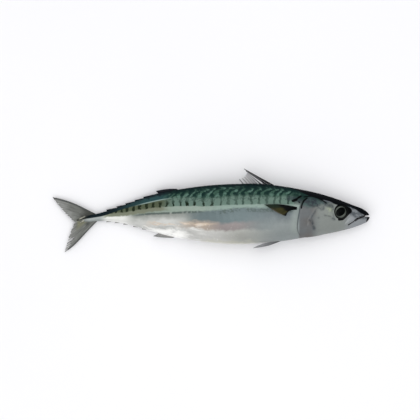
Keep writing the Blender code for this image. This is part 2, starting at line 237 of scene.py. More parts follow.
def gill_relief(ring, girth):
    """The cover swells towards its free edge. It fades out on the back, and is lower on the throat."""
    round_head = ease(0.2, 0.3, girth) * blend(1.0, 0.45, ease(0.88, 1.0, girth))
    swell = GILL_LEDGE * ease(GILL_RING - GILL_SWELL, GILL_RING, ring) * round_head
    return np.where(ring > GILL_RING + 0.01, 0.0, swell)


def head_relief(station, height):
    """Bones, grooves, sockets and nostrils of the head, in millimetres proud of the bare form."""
    from_eye = np.hypot(station - EYE_STATION, height - EYE_HEIGHT)
    relief = -SOCKET_DEPTH * (1.0 - ease(EYE_RADIUS - 1.6, EYE_RADIUS + 0.2, from_eye))
    relief += 0.32 * bell(from_eye, EYE_RADIUS + 1.2, 0.9)
    for points, raised, reach, behind in HEAD_STROKES:
        relief += raised * near_stroke(station - behind, height, points, reach)
    for spot_station, spot_height in NOSTRILS:
        relief -= 0.55 * bell(np.hypot(station - spot_station, height - spot_height), 0.0, 0.55)
    return relief


def flank_relief(station, height, girth):
    """Muscle bands bent like a W, and the fine ridge of the lateral line."""
    bend = 3.2 * np.abs(np.mod(girth * 4.0 + 0.5, 1.0) - 0.5) * 2.0
    bands = MUSCLE_RELIEF * np.cos(2.0 * np.pi * (station + bend) / MUSCLE_LENGTH)
    bands = bands * ease(0.1, 0.3, girth) * ease(84, 120, station)
    line = 0.14 * bell(height, lateral_height(station), 0.55) * ease(74, 92, station)
    return bands * (1.0 - ease(296, 312, station)) + line * (1.0 - ease(300, 309, station))


def skin_rings():
    """Stations of the rings: very close on the lips, close on the head and at the gill cover's ledge."""
    lips = [NOSE_ROUNDING * (i / 12.0) ** 2 for i in range(12)]
    head = list(np.arange(NOSE_ROUNDING, GILL_RING - 0.6 * HEAD_STEP, HEAD_STEP))
    ledge = [GILL_RING - 0.12, GILL_RING, GILL_RING + 0.12, GILL_FOOT]
    body = list(np.arange(GILL_FOOT + 0.5, BODY_END - TAIL_ROUNDING, BODY_STEP))
    tail = [BODY_END - TAIL_ROUNDING * (1.0 - i / 7.0) ** 2 for i in range(8)]
    return np.array([*lips, *head, *ledge, *body, *tail])


def world_points(station, height, level):
    """Points in metres from stations, heights and levels over the table, all in millimetres."""
    return np.stack((NOSE_X - station * MM, AXIS_Y + height * MM, level * MM), axis=-1)


def closed_mesh(name, bm):
    mesh = bpy.data.meshes.new(name)
    bm.to_mesh(mesh)
    bm.free()
    mesh.shade_smooth()
    return mesh


def add_piece(name, mesh, material):
    """Puts a finished mesh into the scene as a piece of the fish."""
    piece = bpy.data.objects.new(name, mesh)
    bpy.context.scene.collection.objects.link(piece)
    mesh.materials.append(material)
    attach(piece, "root")
    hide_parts("mackerel")
    return piece


def skin_mesh():
    rings = skin_rings()
    last = len(rings) - 1
    bm = bmesh.new()
    bmesh.ops.create_grid(bm, x_segments=last, y_segments=SKIN_SIDES, size=1.0)
    mesh = closed_mesh("skin", bm)
    flat = np.empty(len(mesh.vertices) * 3, np.float32)
    mesh.vertices.foreach_get("co", flat)
    across, around = flat.reshape(-1, 3)[:, 0].astype(float), flat.reshape(-1, 3)[:, 1].astype(float)
    ring = rings[np.rint((across + 1.0) / 2.0 * last).astype(int)]
    girth, side = np.abs(around), np.where(around < 0.0, -1.0, 1.0)
    near = 1.0 - ease(0.0, GILL_BEND_REACH, np.abs(ring - GILL_RING))
    station = ring - (GILL_RING - gill_edge(girth)) * near
    height, _ = section(station, girth)
    on_bone = ease(0.03, 0.08, girth) * (1.0 - ease(0.93, 0.99, girth))
    relief = gill_relief(ring, girth) + head_relief(station, height) * on_bone
    relief += flank_relief(station, height, girth) * (ring > GILL_RING + 0.05)
    height, reach = section(station, girth, relief)
    level = rest_on_table(midplane(station) + side * reach, pressed_fin_level(station, height))
    mesh.vertices.foreach_set("co", world_points(station, height, level).astype(np.float32).ravel())
    add_markings(mesh, ring, station, height, girth)
    corners = np.empty(len(mesh.loops), np.int32)
    mesh.loops.foreach_get("vertex_index", corners)
    skin_map = mesh.uv_layers.new(name="skin_map")
    places = np.stack((station / 100.0, girth), axis=-1)[corners]
    skin_map.data.foreach_set("uv", places.astype(np.float32).ravel())
    bm = bmesh.new()
    bm.from_mesh(mesh)
    bmesh.ops.remove_doubles(bm, verts=bm.verts, dist=1e-5)
    bmesh.ops.recalc_face_normals(bm, faces=bm.faces)
    bm.to_mesh(mesh)
    bm.free()
    return mesh


CROWN_EDGE = (
    (0, 0.8), (5.5, 1.6), (8.8, 3.6), (11, 4.8), (16.5, 8.4), (22, 11.4), (28, 12.4), (33, 12.8),
    (38, 13.6), (44, 16.6), (55, 19.2), (66, 22.4), (76, 27.0), (88, 31.0), (100, 34.2),
)
BAR_STATIONS = (
    83.0, 90.4, 98.3, 105.0, 113.9, 122.3, 130.9, 139.6, 146.9, 155.7, 164.3, 173.2, 183.4, 192.4, 200.9,
    208.4, 216.0, 223.0, 230.3, 238.0, 245.5, 253.0, 260.1, 267.3, 272.7, 279.0, 285.3, 291.5,
)
INK_AND_SHADE_MARKS = (
    (((73.0, 21.6), (68.0, 22.4), (62.0, 22.4), (57.3, 20.6), (51.8, 17.6), (48.4, 15.0)), 0.55),
    (((308.0, 0.2), (315.5, -2.2), (323.5, -4.2)), 0.45),
    (((75.7, 9.6), (75.2, 13.0), (73.0, 17.6), (69.3, 20.4)), 0.8),
    (((85.0, 17.4), (81.2, 18.8)), 1.5),
    (((79.8, 20.4), (76.0, 22.4)), 1.0),
    (((78.8, 16.6), (77.6, 15.4)), 0.5),
    (((27.0, 8.4), (23.4, 6.6)), 3.6),
    (((24.4, 4.4), (30.5, -1.6)), 2.3),
    (((34.0, -3.0), (30.5, -2.6)), 1.4),
    # These two strokes along the mouth are painted shade in the gap between the jaws.
    (((3.8, 1.0), (6.0, 0.7), (10.0, -0.9), (13.7, -2.2), (16.2, -3.9)), 1.15),
    (((16.2, -3.9), (19.8, -6.4), (23.8, -9.0)), 0.6),
    (((0.2, -1.2), (1.7, -5.0)), 2.4),
)
PALE_AND_HIGHLIGHT_MARKS = (
    # The streak along the top of the skull behind the eye is a painted highlight.
    (((51.8, 18.7), (46.3, 16.9), (41.5, 15.4)), 0.7),
    (((21.5, 10.0), (20.0, 8.6)), 0.8),
)
SMUDGE_MARKS = (
    (((90.0, 20.4), (84.0, 20.0), (77.0, 17.2)), 2.4),
    (((67.2, 18.3), (61.7, 17.2), (57.3, 14.0), (53.4, 10.0)), 3.2),
    (((65.0, -4.0), (62.8, -9.0), (61.6, -13.0)), 1.5),
    (((58.6, 8.8), (62.8, 3.0), (66.6, -3.5)), 0.8),
    (((42.0, -2.0), (39.6, -2.5)), 1.3),
    (((50.0, 1.6), (43.0, 0.2)), 0.5),
    (((57.0, -1.2), (56.6, -1.4)), 0.7),
    (((3.0, 1.6), (9.0, 1.6), (15.0, 2.6), (19.5, 5.4)), 4.2),
    (((48.0, 13.4), (42.0, 11.6), (39.5, 9.0)), 2.2),
    (((41.4, 11.0), (42.0, 5.0), (39.6, -1.0)), 0.6),
)
EYE_SURROUND = (8.0, 8.7)
EYE_SURROUND_SHIFT = 0.7
BARS_END = (
    (66, 12.6), (80, 13.4), (100, 13.8), (133, 13.6), (147, 13.2), (160, 12.6), (171, 12.0), (182, 11.6),
    (205, 11.8), (218, 11.2), (231, 10.0), (245, 8.8), (258, 6.6), (271, 4.6), (284, 3.8), (324, 0.0),
)
DASH_LINE = (
    (80, 9.2), (99, 9.8), (120, 9.6), (143, 9.8), (154, 8.8), (163, 7.6), (178, 6.6), (192, 5.8),
    (205, 5.4), (218, 4.7), (231, 4.2), (245, 3.6), (258, 2.2), (275, 1.2), (300, -1.2), (324, -4.4),
)
BLUSH_LINE = (
    (80, -4.0), (110, -4.5), (143, -6.0), (171, -6.6), (198, -4.2), (226, -4.8), (245, -4.6), (275, -3.0),
    (300, -3.2), (324, -4.6),
)
bars_end = smooth_line(BARS_END)
dash_height = smooth_line(DASH_LINE)
blush_height = smooth_line(BLUSH_LINE)
crown_edge = smooth_line(CROWN_EDGE)


def drawn(station, height, marks, soft):
    """A mask of marks, each a line through points and its half width."""
    mask = np.zeros(np.shape(station))
    for points, half in marks:
        distance = stroke_distance(station, height, points)
        mask = np.maximum(mask, 1.0 - ease(half - soft / 2.0, half + soft / 2.0, distance))
    return mask


def temple_mask(station, height):
    """The mottled green of the back reaches down over the temple and the top of the gill cover."""
    low_edge = 11.0 + 4.0 * bell(station, 40.0, 9.0) - 2.5 * bell(station, 66.0, 7.0)
    return ease(low_edge - 5.0, low_edge + 6.0, height) * ease(34.0, 46.0, station)


def add_markings(mesh, ring, station, height, girth):
    """Masks of the markings for the skin's colours, a painted shadow behind the gill cover's edge, and the
    measures that the patterns follow.
    """
    crown = ease(-1.0, 1.0, height - crown_edge(station)) * (1.0 - ease(70, 100, station))
    wide, tall = EYE_SURROUND
    round_eye = np.hypot((station - EYE_STATION + EYE_SURROUND_SHIFT) / wide, (height - EYE_HEIGHT) / tall)
    ink_and_shade = np.maximum(drawn(station, height, INK_AND_SHADE_MARKS, 1.3), 1.0 - ease(0.96, 1.04, round_eye))
    glow = bell(np.hypot((station - 44.6) / 4.4, (height - 7.0) / 5.8), 0.0, 0.8)
    behind_cover = ease(GILL_RING, GILL_FOOT, ring) * (1.0 - ease(84.0, 90.0, ring))
    behind_cover = behind_cover * ease(0.3, 0.44, girth) * (1.0 - ease(0.7, 0.85, girth))
    # A thin painted shadow just behind the free edge of the gill cover, which overhangs the body there.
    cover_edge_shadow = bell(ring, GILL_RING + 0.4, 0.5) * ease(0.36, 0.44, girth)
    cover_edge_shadow = cover_edge_shadow * (1.0 - ease(0.86, 0.95, girth))
    masks = {
        "crown": crown,
        "ink_and_shade": ink_and_shade,
        "pale": drawn(station, height, PALE_AND_HIGHLIGHT_MARKS, 1.0),
        "smudge": drawn(station, height, SMUDGE_MARKS, 3.0),
        "glow": glow,
        "behind_cover": behind_cover,
        "cover_edge_shadow": cover_edge_shadow,
        "bar_count": np.interp(station, BAR_STATIONS, np.arange(len(BAR_STATIONS))),
        "over_line": height - lateral_height(station),
        "over_bars": height - bars_end(station),
        "over_dash": height - dash_height(station),
        "over_blush": height - blush_height(station),
        "temple": temple_mask(station, height),
    }
    for name, values in masks.items():
        layer = mesh.attributes.new(name, "FLOAT", "POINT")
        layer.data.foreach_set("value", np.ascontiguousarray(values, np.float32))


def paint(red, green, blue):
    """A colour as a screen shows it, 0 to 255, made linear for the shader."""
    def linear(value):
        value /= 255.0
        return value / 12.92 if value <= 0.04045 else ((value + 0.055) / 1.055) ** 2.4
    return (linear(red), linear(green), linear(blue), 1.0)


class Value:
    """A number or a colour in a shader. Arithmetic on it adds the math nodes that work it out."""

    def __init__(self, socket):
        self.socket = socket
        self.tree = socket.id_data

    def __add__(self, other):
        return calc("ADD", self, other)

    __radd__ = __add__

    def __sub__(self, other):
        return calc("SUBTRACT", self, other)

    def __rsub__(self, other):
        return calc("SUBTRACT", other, self)

    def __mul__(self, other):
        return calc("MULTIPLY", self, other)

    def __truediv__(self, other):
        return calc("DIVIDE", self, other)

    def __rtruediv__(self, other):
        return calc("DIVIDE", other, self)

    def feed(self, socket):
        self.tree.links.new(self.socket, socket)


def node(tree, kind, inputs=(), **settings):
    """A shader node with its settings, and its inputs set or fed by name or number."""
    made = tree.nodes.new("ShaderNode" + kind)
    for key, setting in settings.items():
        setattr(made, key, setting)
    for key, given in dict(inputs).items():
        if isinstance(given, Value):
            given.feed(made.inputs[key])
        else:
            made.inputs[key].default_value = given
    return made


def value(tree, kind, inputs=(), output=0, **settings):
    """What comes out of a new shader node."""
    return Value(node(tree, kind, inputs, **settings).outputs[output])


def calc(operation, *terms):
    tree = next(term.tree for term in terms if isinstance(term, Value))
    return value(tree, "Math", enumerate(terms), operation=operation)


def step(number, low, high):
    """0 below low and 1 above high, as ease."""
    inputs = {"Value": number, "From Min": low, "From Max": high}
    return value(number.tree, "MapRange", inputs, interpolation_type="SMOOTHSTEP")


def over(number, low, high):
    """1 below low and 0 above high."""
    return 1.0 - step(number, low, high)


def band(number, low, high, soft):
    """1 between low and high, with soft ends."""
    return step(number, low - soft, low + soft) - step(number, high - soft, high + soft)


def jittered(number, source, amount):
    """The number moved by noise, by up to half the amount either way."""
    return number + (source - 0.5) * amount


def mix(share, first, second):
    """The first colour where the share is 0, the second where it is 1."""
    return value(share.tree, "Mix", {"Factor": share, 6: first, 7: second}, 2, data_type="RGBA")


def layered(ground, *coats):
    """A ground colour with coats over it, each a share and a colour."""
    for share, colour in coats:
        ground = mix(share, ground, colour)
    return ground


def noise(tree, scale, detail=2.0, at=None, stretch=(1.0, 1.0, 1.0), rough=0.5):
    """Noise of about 0 to 1, with the scale in waves per metre, stretched along the fish's axes."""
    if at is None:
        at = value(tree, "TexCoord", output="Object")
    placed = value(tree, "Mapping", {"Vector": at, "Scale": stretch})
    inputs = {"Vector": placed, "Scale": scale, "Detail": detail, "Roughness": rough}
    return value(tree, "TexNoise", inputs)


def attribute(tree, name):
    return value(tree, "Attribute", output="Fac", attribute_name=name)


def map_place(tree, name):
    """The two numbers that a UV map holds."""
    parts = node(tree, "SeparateXYZ", {0: value(tree, "UVMap", uv_map=name)}).outputs
    return Value(parts[0]), Value(parts[1])


def wet_skin_group():
    """Fine scales and a film of water: height for the bump, and roughness broken by the film."""
    group = bpy.data.node_groups.new("wet_skin", "ShaderNodeTree")
    for name, usual in (("Scale Size", 1.1), ("Roughness", 0.3), ("Unevenness", 0.12)):
        socket = group.interface.new_socket(name, in_out="INPUT", socket_type="NodeSocketFloat")
        socket.default_value = usual
    for name in ("Height", "Roughness"):
        group.interface.new_socket(name, in_out="OUTPUT", socket_type="NodeSocketFloat")
    scale_size, roughness, unevenness = map(Value, group.nodes.new("NodeGroupInput").outputs[:3])
    drain = group.nodes.new("NodeGroupOutput").inputs
    at = value(group, "TexCoord", output="Object")
    scales = value(group, "TexVoronoi", {"Vector": at, "Scale": 1000.0 / scale_size}, feature="SMOOTH_F1")
    grain = noise(group, 2600.0, 2.0)
    film = noise(group, 160.0, 3.0)
    (scales * -0.7 + grain * 0.3).feed(drain["Height"])
    (roughness + (film - 0.5) * unevenness).feed(drain["Roughness"])
    return group


wet_skin = wet_skin_group()


def new_material(name):
    material = bpy.data.materials.new(name)
    material.use_nodes = True
    return material, material.node_tree, material.node_tree.nodes["Principled BSDF"]


def finish_wet(tree, shader, scale_size, roughness, unevenness, strength, distance):
    """Wires the wet film and the scales into a shader."""
    film = node(tree, "Group", node_tree=wet_skin)
    film.inputs["Scale Size"].default_value = scale_size
    film.inputs["Roughness"].default_value = roughness
    film.inputs["Unevenness"].default_value = unevenness
    inputs = {"Height": Value(film.outputs["Height"]), "Strength": strength, "Distance": distance}
    Value(film.outputs["Roughness"]).feed(shader.inputs["Roughness"])
    value(tree, "Bump", inputs).feed(shader.inputs["Normal"])


RIDGE = paint(9, 22, 26)
BACK_DARK = paint(12, 36, 35)
BACK = paint(60, 88, 76)
BACK_PALE = paint(92, 122, 111)
BAR_GAP = paint(100, 122, 112)
BAR = paint(30, 52, 44)
BAR_END = paint(16, 27, 13)
REAR_BACK = paint(20, 31, 36)
REAR_TEAL = paint(46, 74, 76)
LATERAL_LINE_HIGHLIGHT = paint(146, 168, 164)
TAIL_FLANK = paint(120, 125, 108)
OLIVE = paint(66, 76, 56)
STRIPE = paint(131, 149, 141)
STRIPE_REAR = paint(142, 156, 146)
DUSK = paint(74, 86, 82)
PEACH = paint(196, 178, 158)
STREAK_GREY = paint(146, 148, 147)
TAIL_END = paint(92, 94, 88)
BLUE_FLANK = paint(99, 112, 114)
REAR_SILVER = paint(144, 148, 143)
ROSE = paint(158, 147, 136)
MAUVE = paint(134, 127, 126)
WHITE_BELLY = paint(248, 248, 245)
BELLY = paint(160, 161, 156)
BELLY_SILVER = paint(192, 192, 189)
BELLY_CREAM = paint(184, 182, 166)
THROAT = paint(97, 106, 109)
THROAT_LOW = paint(134, 141, 141)
TAIL_SILVER = paint(200, 201, 198)
GLINT = paint(252, 252, 249)
ROOT_SILVER = paint(150, 156, 155)
BEHIND_COVER = paint(146, 155, 151)
GILL_GREY = paint(106, 110, 112)
GILL_WARM = paint(102, 99, 97)
CHEEK = paint(130, 135, 132)
SNOUT = paint(139, 143, 147)
GLOW = paint(148, 156, 138)
LILAC = paint(116, 119, 126)
# Grey of the smudges on the head, also used for the painted shadow behind the gill cover.
SMUDGE_AND_SHADE = paint(48, 56, 62)
TEMPLE = paint(62, 86, 84)
CROWN = paint(7, 10, 14)
# Near black of the ink marks, also used for the painted shade along the mouth.
INK_AND_SHADE = paint(4, 6, 7)


def crisp(tree, name, source):
    """A mask drawn on the mesh, with its edge made crisp and ragged."""
    return step(jittered(attribute(tree, name), source, 0.7), 0.28, 0.72)


def bar_strokes(tree, girth, warp):
    """Dark strokes across the back: bent like a chevron near the ridge, and upright lower down."""
    bend = calc("MINIMUM", calc("ABSOLUTE", girth - 0.185), 0.085)
    moved = (bend - 0.085) * 9.5
    inputs = {"Value": girth, "From Min": 0.22, "From Max": 0.34, "To Min": 1.7, "To Max": 0.8}
    looser = value(tree, "MapRange", inputs)
    phase = attribute(tree, "bar_count") - moved + (warp - 0.5) * looser
    return calc("COSINE", phase * (2.0 * math.pi))


def back_colour(tree, station, girth, slow, fine, finest):
    """The green back: dark ridge, a maze of strokes, pale patches, and bars with dark lower ends."""
    wave = bar_strokes(tree, girth, fine)
    ragged = jittered(wave, finest, 1.2)
    above = jittered(attribute(tree, "over_bars"), fine, 3.0)
    patch = step(fine, 0.48, 0.64) * step(girth, 0.12, 0.2) * step(above, 8.0, 11.0)
    upper = step(ragged, -0.45, 0.5) * step(above, 8.0, 11.5) * 0.85
    twigs = step(calc("ABSOLUTE", fine - 0.5), 0.0, 0.035)
    twigs = (1.0 - twigs) * step(girth, 0.16, 0.22) * step(above, 3.0, 6.0) * 0.6
    unequal = jittered(0.5, noise(tree, 55.0, 1.0), 1.2)
    lower = step(ragged, 0.2, 1.0) * over(above, 9.0, 12.0) * unequal
    rear_half = 0.14 + step(station, 158.0, 178.0) * 0.8
    ends = step(ragged, 0.1, 0.9) * over(above, 2.5, 7.0) * rear_half
    nape = jittered(jittered(station, fine, 26.0), finest, 10.0)
    front = over(nape, 72.0, 92.0) * step(girth, 0.1, 0.2) * 0.8
    return layered(
        mix(step(jittered(girth, fine, 0.05), 0.09, 0.16), RIDGE, BACK_DARK),
        (step(jittered(girth, fine, 0.1), 0.14, 0.23), BACK),
        (patch * 0.8, BACK_PALE),
        (over(jittered(above, slow, 5.0), 6.5, 11.5), BAR_GAP),
        (upper, BACK_DARK),
        (twigs, BACK_DARK),
        (lower, BAR),
        (ends, BAR_END),
        (front, BACK_DARK),
    ), wave


def tail_colour(tree, station, wave, fine, finest, silver):
    """The rear back: blue-black above the lateral line, which has a painted pale highlight, and dark
    blotches on olive just under it.
    """
    above = attribute(tree, "over_line")
    end = jittered(jittered(attribute(tree, "over_bars"), fine, 3.0), finest, 1.6)
    root = step(station, 288.0, 298.0)
    body = 1.0 - root
    # Painted highlight on the silver of the tail stalk, lightening skin that turns away from the light.
    stalk_highlight = step(station, 256.0, 274.0) * 0.6
    silver = mix(root, mix(stalk_highlight, silver, GLINT), ROOT_SILVER)
    ragged = jittered(jittered(wave, fine, 1.7), finest, 1.3)
    tall = step(end, -0.6, 0.8) * over(end, 4.5, 7.5)
    blotch = step(ragged, -0.3, 0.5) * tall * body * 0.85
    deep = jittered(jittered(above, fine, 9.0), finest, 3.0)
    tealness = over(deep, 2.0, 6.5) * over(station, 240.0, 290.0)
    dark = mix(tealness, REAR_BACK, REAR_TEAL)
    # A painted pale highlight along the ridge of the lateral line.
    line = band(above, -0.75, 0.3, 0.3) * over(station, 244.0, 262.0) * 0.8
    return layered(
        mix(step(end, -5.0, -3.0) * body, silver, TAIL_FLANK),
        (step(end, -1.0, 1.6) * body * 0.8, OLIVE),
        (blotch, BAR_END),
        (step(above, -0.5, 0.4), dark),
        (line, LATERAL_LINE_HIGHLIGHT),
        (step(jittered(station, fine, 8.0), 308.0, 319.0), TAIL_END),
    )


def flank_colour(tree, station, girth, slow, fine, finest):
    """The silver flank: pale stripe, dusky dashes, blue-grey, a rose and mauve blush, and the belly."""
    dash_side = jittered(jittered(attribute(tree, "over_dash"), fine, 4.0), finest, 2.6)
    blush_side = jittered(jittered(attribute(tree, "over_blush"), slow, 8.0), fine, 5.0)
    streaks = noise(tree, 240.0, 3.0, stretch=(0.16, 1.0, 1.0))
    rear = step(jittered(station, slow, 40.0), 180.0, 220.0)
    stripe = mix(step(station, 160.0, 190.0), STRIPE, STRIPE_REAR)
    broken = step(noise(tree, 150.0, stretch=(1.0, 0.25, 0.25)), 0.36, 0.46)
    run = step(station, 178.0, 190.0) * over(station, 245.0, 275.0)
    dash_at = jittered(attribute(tree, "over_dash"), finest, 1.6)
    dash = band(dash_at, -1.7, 0.5, 0.6) * broken * run * 0.8
    spots = step(finest, 0.43, 0.55) * band(attribute(tree, "over_dash"), -4.6, 0.2, 1.0)
    marks = spots * step(fine, 0.38, 0.52) * over(station, 164.0, 178.0) * 0.8
    blush = mix(step(station, 160.0, 184.0), MAUVE, ROSE)
    blush_run = step(station, 104.0, 150.0) * over(station, 206.0, 232.0)
    silver_run = over(jittered(dash_side, streaks, 5.0), -10.5, -1.8) * step(station, 192.0, 222.0)
    peach = step(streaks, 0.46, 0.6) * band(blush_side, -6.0, 0.0, 1.5)
    peach = peach * step(station, 160.0, 185.0) * over(station, 236.0, 252.0) * 0.7
    belly_end = jittered(station, slow, 30.0)
    belly = mix(step(belly_end, 140.0, 176.0), BELLY, BELLY_SILVER)
    belly = mix(step(belly_end, 196.0, 212.0), belly, WHITE_BELLY)
    streak_place = over(blush_side, -5.0, 1.0) * step(station, 165.0, 212.0)
    cream = step(jittered(girth, fine, 0.2), 0.8, 0.9) * step(station, 112.0, 132.0)
    throat = over(station, 96.0, 150.0) * over(attribute(tree, "over_dash"), -5.0, 0.0)
    throat_colour = mix(step(jittered(girth, fine, 0.1), 0.5, 0.66), THROAT, THROAT_LOW)
    # A painted highlight along the lower rim of the belly, behind the throat.
    rim = step(jittered(girth, fine, 0.06), 0.88, 0.97) * step(station, 90.0, 120.0) * 0.5
    glint = step(finest, 0.62, 0.74) * over(blush_side, -5.0, -2.0) * step(station, 118.0, 170.0)
    return layered(
        mix(over(dash_side, -1.8, 1.6), stripe, mix(rear, BLUE_FLANK, REAR_SILVER)),
        (over(blush_side, -3.5, 2.0) * blush_run, blush),
        (silver_run, TAIL_SILVER),
        (peach, PEACH),
        (over(blush_side, -11.0, -7.0), belly),
        (step(streaks, 0.54, 0.7) * streak_place * 0.5, GLINT),
        (over(streaks, 0.34, 0.48) * streak_place * 0.4, STREAK_GREY),
        (cream * over(station, 176.0, 190.0) * 0.6, BELLY_CREAM),
        (throat, throat_colour),
        (calc("MAXIMUM", dash, marks), DUSK),
        (rim, GLINT),
        (glint * step(fine, 0.4, 0.6) * 0.45, GLINT),
    )


def head_colour(tree, station, slow, fine, finest):
    """The silver head: grey gill cover, pale cheek and snout, and the mottled temple."""
    warm = mix(step(slow, 0.4, 0.65), GILL_GREY, GILL_WARM)
    mottle = step(jittered(fine, finest, 0.5), 0.38, 0.62)
    mottled = mix(mottle, TEMPLE, SMUDGE_AND_SHADE)
    temple = step(jittered(attribute(tree, "temple"), fine, 0.8), 0.25, 0.95)
    return layered(
        mix(step(station, 54.0, 66.0), CHEEK, warm),
        (over(station, 18.0, 32.0), SNOUT),
        (attribute(tree, "glow") * step(jittered(fine, finest, 0.6), 0.36, 0.6), GLOW),
        (temple * 0.85, mottled),
    )


def head_marks(tree, fine, finest, colour):
    """Soft grey smudges and a few pale marks, which lie over the skin of head and shoulder alike."""
    mottle = step(jittered(fine, finest, 0.9), 0.34, 0.62)
    shade = attribute(tree, "smudge") * (0.25 + mottle * 0.5)
    colour = mix(shade, colour, SMUDGE_AND_SHADE)
    # Pale lilac marks: the one along the top of the skull is a painted highlight.
    return mix(crisp(tree, "pale", fine) * 0.6, colour, LILAC)


def skin_material():
    material, tree, shader = new_material("skin")
    decimetres, girth = map_place(tree, "skin_map")
    station = decimetres * 100.0
    slow = noise(tree, 30.0)
    fine = noise(tree, 170.0, 3.0)
    finest = noise(tree, 460.0, 3.0)
    back, wave = back_colour(tree, station, girth, slow, fine, finest)
    flank = flank_colour(tree, station, girth, slow, fine, finest)
    below = jittered(jittered(attribute(tree, "over_bars"), fine, 2.0), finest, 1.4)
    rear = step(jittered(station, fine, 14.0), 214.0, 232.0)
    head_edge = station - step(girth, 0.22, 0.45) * 12.0
    nape = mix(over(station, 46.0, 66.0), back, RIDGE)
    head = mix(step(girth, 0.24, 0.33), nape, head_colour(tree, station, slow, fine, finest))
    side = layered(
        mix(step(below, -0.6, 0.6), flank, back),
        (rear, tail_colour(tree, station, wave, fine, finest, flank)),
        (attribute(tree, "behind_cover") * 0.6, BEHIND_COVER),
    )
    colour = mix(over(head_edge, 65.0, 67.0), side, head)
    # Painted shadow behind the gill cover's edge, in the grey of the smudges.
    colour = mix(attribute(tree, "cover_edge_shadow") * 0.75, colour, SMUDGE_AND_SHADE)
    colour = head_marks(tree, fine, finest, colour)
    colour = mix(crisp(tree, "crown", fine), colour, CROWN)
    # Black ink marks, and painted shade along the mouth between the jaws.
    colour = mix(crisp(tree, "ink_and_shade", fine), colour, INK_AND_SHADE)
    cloud = 0.9 + noise(tree, 62.0, 3.0, stretch=(0.5, 1.0, 1.0)) * 0.2
    speckle = cloud * (0.93 + finest * 0.14)
    colour = value(tree, "VectorMath", {0: colour, 1: speckle}, operation="MULTIPLY")
    colour.feed(shader.inputs["Base Color"])
    silver = step(girth, 0.38, 0.56)
    (silver * 0.25).feed(shader.inputs["Metallic"])
    (silver * 0.15 + 0.06).feed(shader.inputs["Coat Weight"])
    shader.inputs["Coat Roughness"].default_value = 0.2
    shader.inputs["Specular IOR Level"].default_value = 0.0
    finish_wet(tree, shader, 1.1, 0.38, 0.2, 0.25, 0.0002)
    return material


skin = add_piece("skin", skin_mesh(), skin_material())


# The mouth hangs a little open. A slot runs right through at the lips, and behind them it is a groove
# in each cheek back to the corner of the jaw. It is cut out of the skin and lined with dark flesh.
MOUTH_FRONT = -3.0
MOUTH_CORNER = 24.0
MOUTH_SLOT_END = 4.6
MOUTH_GROOVE_START = 7.0
MOUTH_GROOVE_DEPTH = (3.2, 1.2)
MOUTH_COLUMNS = 54
MOUTH_COLOURS = (paint(14, 14, 16), paint(44, 34, 34))
CREASE_ANGLE = 42
mouth_height = smooth_line(
    ((-3, 0.7), (1, 0.7), (4.6, 0.6), (9, -0.8), (14.4, -2.8), (18, -5.0), (24, -9.2))
)
mouth_gap = smooth_line(((-3, 2.6), (1, 1.7), (4.6, 1.1), (10, 1.3), (16, 1.0), (24, 0.5)))


def plate_mesh(name, columns, rows, middle, thickness, across=(0, 0, 1), gone=None, marked=None):
    """A thin closed plate with its own UV map. For u across the columns and v along the rows, both 0 to 1,
    middle(u, v) is a point in metres, thickness(u, v) is in millimetres, gone(u, v) drops faces, and
    marked(u, v) is kept on the mesh as a mask."""
    bm = bmesh.new()
    bm.loops.layers.uv.new("fin_map")
    mark = bm.verts.layers.float.new("marked") if marked else None
    bmesh.ops.create_grid(bm, x_segments=columns, y_segments=rows, size=0.5, calc_uvs=True)
    if gone:
        centres = [(face, face.calc_center_median()) for face in bm.faces]
        torn = [face for face, centre in centres if gone(centre.x + 0.5, centre.y + 0.5)]
        bmesh.ops.delete(bm, geom=torn, context="FACES")
    grown = bmesh.ops.extrude_face_region(bm, geom=bm.faces[:], use_keep_orig=True)
    upper = {item for item in grown["geom"] if isinstance(item, bmesh.types.BMVert)}
    for vertex in bm.verts:
        u, v = vertex.co.x + 0.5, vertex.co.y + 0.5
        if marked:
            vertex[mark] = marked(u, v)
        half = thickness(u, v) / 2.0 * MM * (1.0 if vertex in upper else -1.0)
        vertex.co = Vector(middle(u, v)) + Vector(across) * half
    bmesh.ops.recalc_face_normals(bm, faces=bm.faces)
    return closed_mesh(name, bm)


def place(station, height, sideways):
    """A point of the fish in metres, given sideways from its middle plane."""
    return Vector(world_points(station, height, midplane(station) + sideways))


def mouth_cutter(side):
    def middle(u, v):
        station = blend(MOUTH_FRONT, MOUTH_CORNER, u)
        reach = half_width(max(station, 0.0))
        depth = blend(*MOUTH_GROOVE_DEPTH, ease(MOUTH_GROOVE_START, MOUTH_CORNER, station))
        inner = blend(-0.4, reach - depth, ease(MOUTH_SLOT_END, MOUTH_GROOVE_START, station))
        return place(station, mouth_height(station), side * blend(inner, reach + 3.0, v))

    def gap(u, v):
        return mouth_gap(blend(MOUTH_FRONT, MOUTH_CORNER, u))

    return plate_mesh("mouth_cutter", MOUTH_COLUMNS, 2, middle, gap, across=(0, 1, 0))


def blotched_material(
    name, colours, scale, wet, specular=0.1, stretch=(1.0, 1.0, 1.0), edges=(0.35, 0.65)
):
    """Wet flesh or bone in blotches of two colours."""
    material, tree, shader = new_material(name)
    share = step(noise(tree, scale, stretch=stretch), *edges)
    mix(share, *colours).feed(shader.inputs["Base Color"])
    shader.inputs["Specular IOR Level"].default_value = specular
    finish_wet(tree, shader, *wet)
    return material


